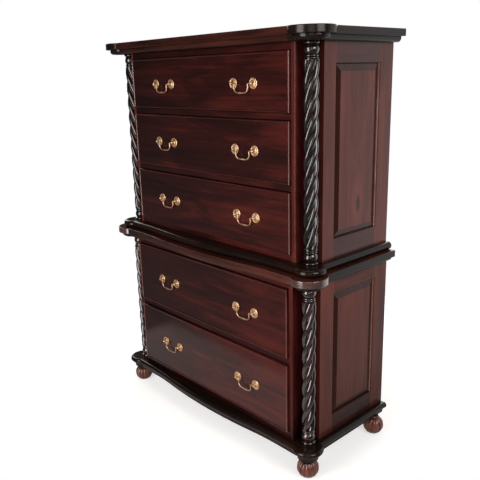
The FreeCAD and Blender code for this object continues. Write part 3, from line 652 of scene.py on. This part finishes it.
@dataclass
class Carcass:
    """One framed case: posts and rails in front, panelled sides, back and runners."""

    tier: str
    lowest_drawer: str
    side_finish: LacqueredMahogany
    cross_finish: LacqueredMahogany
    post_finish: LacqueredMahogany
    rail_finish: LacqueredMahogany
    highlight_edge_finish: LacqueredMahogany = HIGHLIGHT_EDGE_WOOD
    bevel_finish: LacqueredMahogany = BEVEL_WOOD
    inner: PlanedTimber = INNER_TIMBER
    knot: Knot | None = None
    panel_tongue: float = 8 * MM
    # The flat of a panel looks straight out to the side, and its bevel less than this.
    bevel_lean: float = 0.99

    def dress(self) -> None:
        """Finish every piece of the case, each with the grain along its own length."""
        self.dress_front()
        for side in SIDES:
            self.dress_side(side)
        dress(f"{self.tier}_back", self.inner.material(Grain.UPRIGHT))
        dress(f"{self.tier}_runners", self.inner.material(Grain.DEEP))

    def dress_front(self) -> None:
        """Finish the front frame: upright posts with rails between them."""
        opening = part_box(f"{self.lowest_drawer}_front")[1].x + TOUCH
        dress(f"{self.tier}_front_frame", self.post_finish.material(Grain.UPRIGHT), [
            (self.rail_finish.material(Grain.ACROSS),
             lambda centres, normals: np.abs(centres[:, X]) < opening),
        ])

    def dress_side(self, side: str) -> None:
        """Finish a side: stiles, rails between them, inner edges painted pale as a highlight, and
        the raised panel with its bevels darkened as painted shade.

        Args:
            side: Left or right.
        """
        low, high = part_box(f"{self.tier}_{side}_side_panel")
        front, back = low.y + self.panel_tongue, high.y - self.panel_tongue
        stile = self.side_finish.material(Grain.UPRIGHT)
        dress(f"{self.tier}_{side}_side_frame", stile, [
            (self.cross_finish.material(Grain.DEEP),
             lambda centres, normals: ((centres[:, Y] > front + TOUCH)
                                       & (centres[:, Y] < back - TOUCH))),
            (self.highlight_edge_finish.material(Grain.UPRIGHT),
             lambda centres, normals: ((np.abs(normals[:, Y]) > FACING)
                                       & (centres[:, Y] > front - TOUCH)
                                       & (centres[:, Y] < back + TOUCH))),
        ])
        panel = self.side_finish.material(Grain.UPRIGHT, self.knot) if self.knot else stile
        dress(f"{self.tier}_{side}_side_panel", panel, [
            (self.bevel_finish.material(Grain.UPRIGHT),
             lambda centres, normals: np.abs(normals[:, X]) < self.bevel_lean),
        ])


@dataclass
class Mouldings:
    """The boards and mouldings that cross the chest at its base, waist and top."""

    red_finish: LacqueredMahogany = RED_MOULDING_WOOD
    shaded_finish: LacqueredMahogany = SHADED_MOULDING_WOOD
    dark_finish: LacqueredMahogany = DARK_MOULDING_WOOD
    gleam_finish: LacqueredMahogany = GLEAM_EAR_WOOD
    red_boards: tuple[str, ...] = ("waist_board",)
    shaded_boards: tuple[str, ...] = ("waist_moulding", "cornice_moulding", "cornice_top")
    dark_boards: tuple[str, ...] = ("base_board", "upper_base_board", "base_cove")
    # How far an ear reaches past its column, inwards and to the back.
    ear_margin: float = 15 * MM

    def dress(self) -> None:
        """Finish the boards: the waist board's top, and the sides and most ears, darker as painted
        shade; the waist's ears paler and glossier as a painted gleam.
        """
        # rubbed is the waist ears' finish: a paler colour that paints a gleam of light.
        red, shaded, dark, rubbed = (finish.material(Grain.ACROSS) for finish in (
            self.red_finish, self.shaded_finish, self.dark_finish, self.gleam_finish))
        strip = self.dark_finish.material(Grain.DEEP)
        # The waist board's top and the sides and most ears take darker finishes than the fronts,
        # as painted shade.
        for front, top, ear, boards in ((red, shaded, rubbed, self.red_boards),
                                        (shaded, shaded, dark, self.shaded_boards),
                                        (dark, dark, dark, self.dark_boards)):
            for node in boards:
                tier = "upper" if node.startswith(("cornice", "upper")) else "lower"
                column_low, column_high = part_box(f"{tier}_right_column")
                ear_x, ear_y = column_low.x - self.ear_margin, column_high.y + self.ear_margin
                dress(node, ear, [
                    (top, lambda centres, normals: normals[:, Z] > FACING),
                    (front, lambda centres, normals: np.abs(centres[:, X]) < ear_x),
                    (strip, lambda centres, normals: centres[:, Y] > ear_y),
                ])


@dataclass
class TurnedWork:
    """The rope-twist columns and the ribbed bun feet."""

    upper_finish: LacqueredMahogany = UPPER_COLUMN_WOOD
    lower_finish: LacqueredMahogany = LOWER_COLUMN_WOOD
    foot_finish: LacqueredMahogany = FOOT_WOOD

    def dress(self) -> None:
        """Finish the turned pieces, whose fibres run upright."""
        for tier, finish in (("upper", self.upper_finish), ("lower", self.lower_finish)):
            for side in SIDES:
                dress(f"{tier}_{side}_column", finish.material(Grain.UPRIGHT))
        dress("bun_feet", self.foot_finish.material(Grain.UPRIGHT))


@dataclass
class Drawers:
    """The five drawers: fronts, boxes, bottoms and their handles."""

    front_finish: LacqueredMahogany = DRAWER_WOOD
    bead_finish: LacqueredMahogany = BEAD_WOOD
    highlight_finish: LacqueredMahogany = HIGHLIGHT_BEAD_WOOD
    inner: PlanedTimber = INNER_TIMBER
    brass: CastBrass = BRASS
    count: int = 5
    side_thickness: float = 12 * MM
    bead_stand: float = 3 * MM
    bead_touch: float = 0.1 * MM
    bead_width: float = 7 * MM
    # A bead's face takes the painted highlight where its normal leans to a side and forward by
    # more than these.
    highlight_sideways: float = 0.35
    highlight_forward: float = 0.2

    def dress(self) -> None:
        """Finish the drawers, one after the other."""
        for number in range(1, self.count + 1):
            name = f"drawer_{number}"
            self.dress_front(name)
            self.dress_box(name)
            for piece in ("handle_mounts", "bail_left", "bail_right"):
                dress(f"{name}_{piece}", self.brass.material())

    def dress_front(self, name: str) -> None:
        """Finish a front: a bead round the face, painted pale at its upright ends as a highlight,
        and a bare back.

        Args:
            name: The drawer's name.
        """
        low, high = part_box(f"{name}_front")
        face_y = low.y + self.bead_stand
        dress(f"{name}_front", self.front_finish.material(Grain.ACROSS), [
            (self.inner.material(Grain.ACROSS),
             lambda centres, normals: centres[:, Y] > high.y - TOUCH),
            (self.highlight_finish.material(Grain.UPRIGHT),
             lambda centres, normals: ((np.abs(centres[:, X]) > high.x - self.bead_width)
                                       & (np.abs(normals[:, X]) > self.highlight_sideways)
                                       & (normals[:, Y] < -self.highlight_forward))),
            (self.bead_finish.material(Grain.ACROSS),
             lambda centres, normals: centres[:, Y] < face_y - self.bead_touch),
        ])

    def dress_box(self, name: str) -> None:
        """Finish a box in bare timber: sides from front to back, back and bottom across.

        Args:
            name: The drawer's name.
        """
        across = self.inner.material(Grain.ACROSS)
        inner_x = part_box(f"{name}_box")[1].x - self.side_thickness
        dress(f"{name}_box", self.inner.material(Grain.DEEP), [
            (across, lambda centres, normals: np.abs(centres[:, X]) < inner_x - TOUCH),
        ])
        dress(f"{name}_bottom", across)


@dataclass
class Softbox:
    """A soft studio lamp."""

    name: str
    place: Triple
    aim: Triple
    width: float
    height: float
    power: float
    colour: str = "#fff8f4"

    def build(self) -> None:
        """Put the lamp in the scene."""
        lamp = bpy.data.lights.new(self.name, "AREA")
        lamp.shape = "RECTANGLE"
        lamp.size = self.width
        lamp.size_y = self.height
        lamp.energy = self.power
        lamp.color = linear(self.colour)[:3]
        obj = bpy.data.objects.new(self.name, lamp)
        obj.location = self.place
        ahead = Vector(self.aim) - Vector(self.place)
        obj.rotation_euler = ahead.to_track_quat("-Z", "Y").to_euler()
        bpy.context.scene.collection.objects.link(obj)


@dataclass
class Studio:
    """A pale floor, a white backdrop behind the chest, a dim room in front of it, soft lamps."""

    floor_x: Span = (-0.95, 0.78)
    floor_y: Span = (-0.7, 1.5)
    floor_shade: str = "#c7c6c4"
    floor_colour: str = "#cbcac8"
    floor_stops: Span = (0.3, 0.7)
    floor_roughness: float = 0.5
    # The roller leaves clouds of about this width in the paint.
    paint_mm: float = 60.0
    paint_detail: float = 3.0
    # How much white the camera sees added to the floor, near the chest and away from it.
    floor_lift: Span = (0.58, 0.95)
    floor_fade: Span = (0.5, 1.2)
    floor_mirror_lift: float = 0.1
    white_light: float = 1.0
    # The side on which the white backdrop stands, and how its edge fades into the room.
    backdrop_side: Triple = (0.1, 0.995, 0.0)
    backdrop_edges: Span = (0.4, 0.95)
    room_light: float = 0.035
    # The room's own floor, beyond the painted one, gets lighter below the horizon.
    far_floor_rise: Span = (0.02, -0.4)
    far_floor_light: float = 0.17
    ambient: float = 0.2
    lamps: tuple[Softbox, ...] = (
        Softbox("front_softbox", (0.1, -2.4, 1.06), (0.0, 0.0, 0.9), 1.2, 2.1, 48.0),
        Softbox("corner_softbox", (2.1, -2.0, 1.6), (0.3, 0.0, 0.8), 1.2, 1.6, 7.0),
        Softbox("side_softbox", (2.9, -0.4, 2.2), (0.4, 0.0, 1.0), 1.5, 1.4, 40.0),
        Softbox("left_softbox", (-2.9, 0.4, 1.9), (-0.4, 0.0, 0.9), 1.2, 1.4, 24.0),
        Softbox("back_softbox", (-0.8, 3.0, 1.9), (0.0, 0.2, 0.8), 1.6, 1.4, 26.0),
        Softbox("top_softbox", (0.0, 0.0, 3.4), (0.0, 0.0, 0.0), 1.8, 1.2, 18.0),
    )

    def floor_material(self) -> bpy.types.Material:
        """Paint the floor matt white, fading into the white round it outside the shadow.

        Returns:
            The material.
        """
        material, tree = new_material("matt_white_floor_paint")
        seen, sent_on = ray_kinds(tree)
        place = add_node(tree, "TexCoord").outputs["Object"]
        away = add_node(tree, "VectorMath", {"operation": "LENGTH"}, {0: place}).outputs["Value"]
        fade = add_node(tree, "MapRange", {
            "From Min": self.floor_fade[0], "From Max": self.floor_fade[1],
            "To Min": self.floor_lift[0], "To Max": self.floor_lift[1],
        }, {"Value": away}).outputs[0]
        shown = add_node(tree, "Math", {"operation": "MULTIPLY"}, {0: seen, 1: fade}).outputs[0]
        lift = add_node(tree, "Math", {"operation": "MULTIPLY_ADD", 1: self.floor_mirror_lift},
                        {0: sent_on, 2: shown}).outputs[0]
        paint = add_node(tree, "TexNoise", {
            "Scale": per_metre(self.paint_mm), "Detail": self.paint_detail,
        }, {"Vector": place}).outputs["Fac"]
        colours = (linear(self.floor_shade), linear(self.floor_colour))
        colour = add_node(tree, "ValToRGB", {"stops": list(zip(self.floor_stops, colours))},
                          {"Fac": paint}).outputs[0]
        matt = add_node(tree, "BsdfDiffuse", {"Roughness": self.floor_roughness},
                        {"Color": colour}).outputs[0]
        glow = add_node(tree, "Emission", {"Color": linear(WHITE)}, {"Strength": lift}).outputs[0]
        both = add_node(tree, "AddShader", None, {0: matt, 1: glow}).outputs[0]
        add_node(tree, "OutputMaterial", None, {"Surface": both})
        return material

    def build_floor(self) -> None:
        """Lay the floor under the chest."""
        (left, right), (front, back) = self.floor_x, self.floor_y
        corners = [(left, front, 0), (right, front, 0), (right, back, 0), (left, back, 0)]
        mesh = bpy.data.meshes.new("studio_floor")
        mesh.from_pydata(corners, [], [(0, 1, 2, 3)])
        floor = bpy.data.objects.new("studio_floor", mesh)
        mesh.materials.append(self.floor_material())
        bpy.context.scene.collection.objects.link(floor)

    def build_world(self) -> None:
        """Surround the chest: white for the camera, and for gloss a backdrop and a dim room."""
        world = bpy.data.worlds.new("studio")
        world.use_nodes = True
        tree = world.node_tree
        tree.nodes.clear()
        way = add_node(tree, "TexCoord").outputs["Generated"]
        facing = add_node(tree, "VectorMath", {"operation": "DOT_PRODUCT", 1: self.backdrop_side},
                          {0: way}).outputs["Value"]
        backdrop = add_node(tree, "MapRange", {
            "interpolation_type": "SMOOTHSTEP", "From Min": self.backdrop_edges[0],
            "From Max": self.backdrop_edges[1], "To Min": self.room_light,
            "To Max": self.white_light,
        }, {"Value": facing}).outputs[0]
        rise = add_node(tree, "SeparateXYZ", None, {0: way}).outputs["Z"]
        far_floor = add_node(tree, "MapRange", {
            "From Min": self.far_floor_rise[0], "From Max": self.far_floor_rise[1],
            "To Min": self.room_light, "To Max": self.far_floor_light,
        }, {"Value": rise}).outputs[0]
        mirrored = add_node(tree, "Math", {"operation": "MAXIMUM"},
                            {0: backdrop, 1: far_floor}).outputs[0]
        seen, sent_on = ray_kinds(tree)
        other = add_node(tree, "Mix", {MIX_NUMBER_A: self.ambient},
                         {MIX_FACTOR: sent_on, MIX_NUMBER_B: mirrored}).outputs[MIXED_NUMBER]
        strength = add_node(tree, "Mix", {MIX_NUMBER_B: self.white_light},
                            {MIX_FACTOR: seen, MIX_NUMBER_A: other}).outputs[MIXED_NUMBER]
        background = add_node(tree, "Background", {"Color": linear(WHITE)},
                              {"Strength": strength}).outputs[0]
        add_node(tree, "OutputWorld", None, {"Surface": background})
        bpy.context.scene.world = world

    def build(self) -> None:
        """Set up the floor, the surroundings and the lamps."""
        self.build_floor()
        self.build_world()
        for lamp in self.lamps:
            lamp.build()
        bpy.context.scene.view_settings.view_transform = "Standard"


@dataclass
class PhotoCamera:
    """The camera at the photograph's place, solved from the chest's straight edges."""

    place: Triple = (1.7304, -1.5830, 1.3667)
    yaw: float = 47.731
    pitch: float = 15.246
    roll: float = -1.506
    focal_mm: float = 45.62
    sensor_mm: float = 36.0
    clip: Span = (0.05, 50.0)

    def build(self) -> None:
        """Put the camera in the scene."""
        yaw, pitch, roll = (math.radians(angle) for angle in (self.yaw, self.pitch, self.roll))
        ahead = Vector((-math.sin(yaw) * math.cos(pitch), math.cos(yaw) * math.cos(pitch),
                        -math.sin(pitch)))
        level = Vector((math.cos(yaw), math.sin(yaw), 0.0))
        upward = level.cross(ahead)
        right = level * math.cos(roll) + upward * math.sin(roll)
        up = upward * math.cos(roll) - level * math.sin(roll)
        data = bpy.data.cameras.new("photo_camera")
        data.sensor_fit = "HORIZONTAL"
        data.sensor_width = self.sensor_mm
        data.lens = self.focal_mm
        data.clip_start, data.clip_end = self.clip
        camera = bpy.data.objects.new("photo_camera", data)
        turn = Matrix((right, up, -ahead)).transposed().to_4x4()
        camera.matrix_world = Matrix.Translation(self.place) @ turn
        bpy.context.scene.collection.objects.link(camera)
        bpy.context.scene.camera = camera


def main() -> None:
    """Dress the chest piece by piece and set up the studio."""
    logging.basicConfig(level=logging.INFO)
    knot = Knot(centre_mm=(490.0, 78.0, 933.0), reach_mm=(60.0, 15.0, 44.0))
    Carcass("lower", "drawer_5", LOWER_SIDE_WOOD, LOWER_CROSS_WOOD, LOWER_POST_WOOD,
            LOWER_RAIL_WOOD).dress()
    Carcass("upper", "drawer_3", UPPER_SIDE_WOOD, UPPER_CROSS_WOOD, UPPER_POST_WOOD,
            DRAWER_WOOD, knot=knot).dress()
    Mouldings().dress()
    TurnedWork().dress()
    Drawers().dress()
    dress("locating_dowels", INNER_TIMBER.material(Grain.UPRIGHT))
    Studio().build()
    PhotoCamera().build()


if __name__ == "__main__":
    main()
